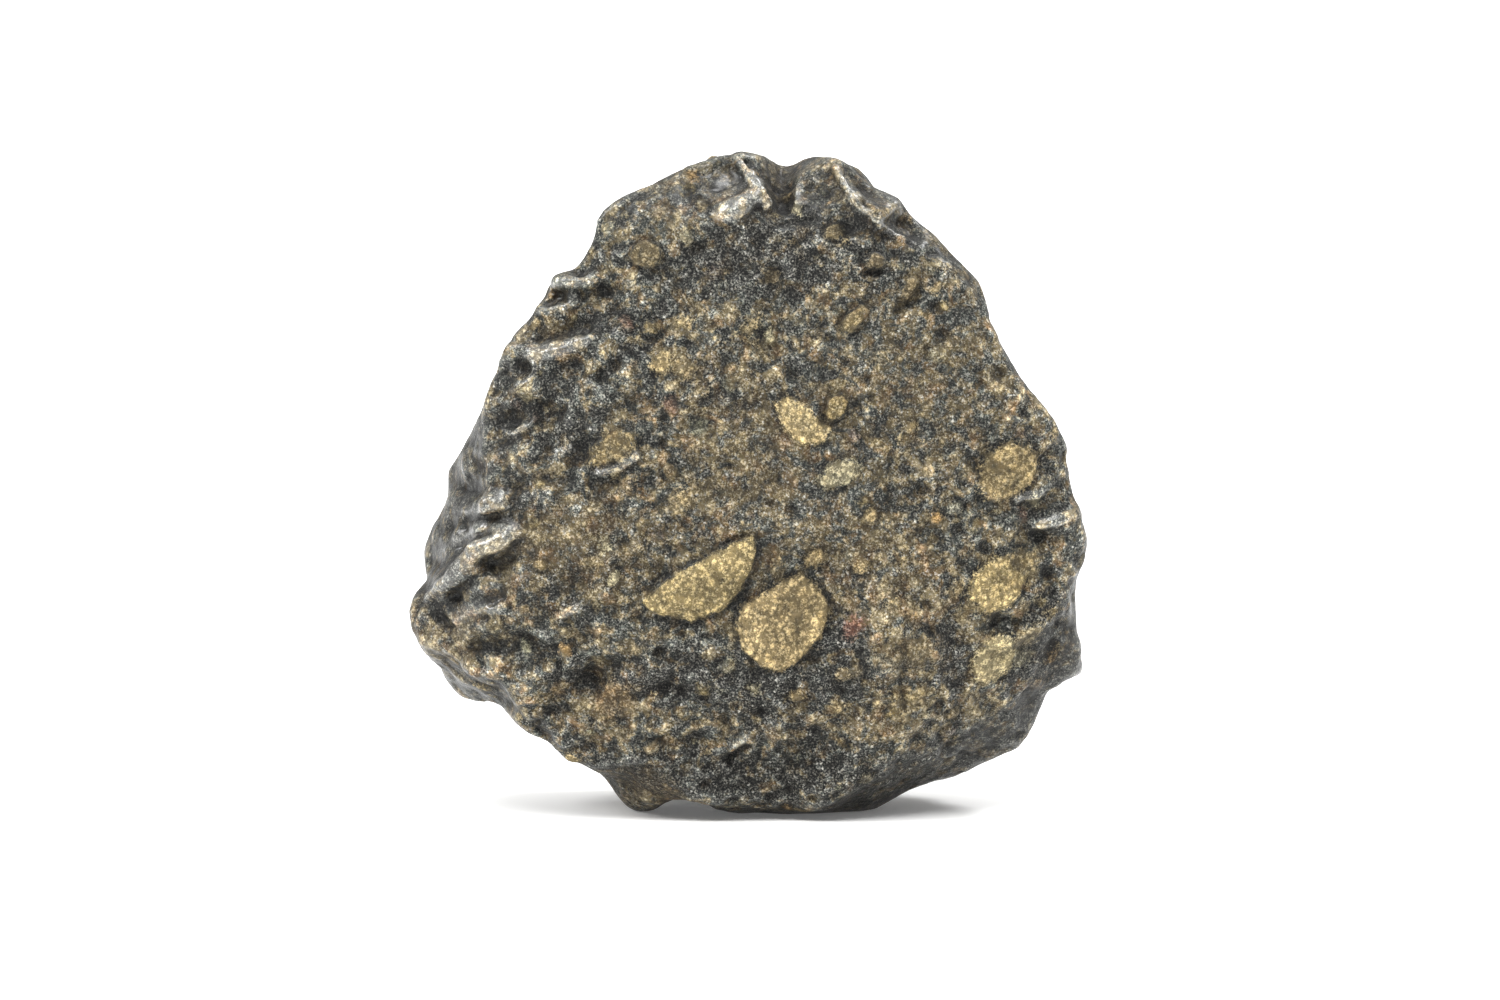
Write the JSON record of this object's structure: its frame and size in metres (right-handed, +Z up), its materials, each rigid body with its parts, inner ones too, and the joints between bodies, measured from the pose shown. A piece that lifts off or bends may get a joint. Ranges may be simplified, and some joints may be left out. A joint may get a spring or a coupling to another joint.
{
  "type": "lunar meteorite",
  "caption": "Dark grey lunar breccia fragment with pale rounded clasts, a worn flat face with a scalloped edge, lumpy sides and a small flat spot that it stands on",
  "frame": {"origin": "on the flat spot that the stone stands on, below the middle of the stone", "axes": "-Y out of the worn face, which is what the front of the stone shows; +Z up; X across the face"},
  "size_m": [0.0304, 0.0169, 0.0299],
  "materials": {
    "dark_breccia": "worn, part glossy desert varnish"
  },
  "bodies": {
    "root": {"stone": "dark_breccia"}
  },
  "joints": []
}
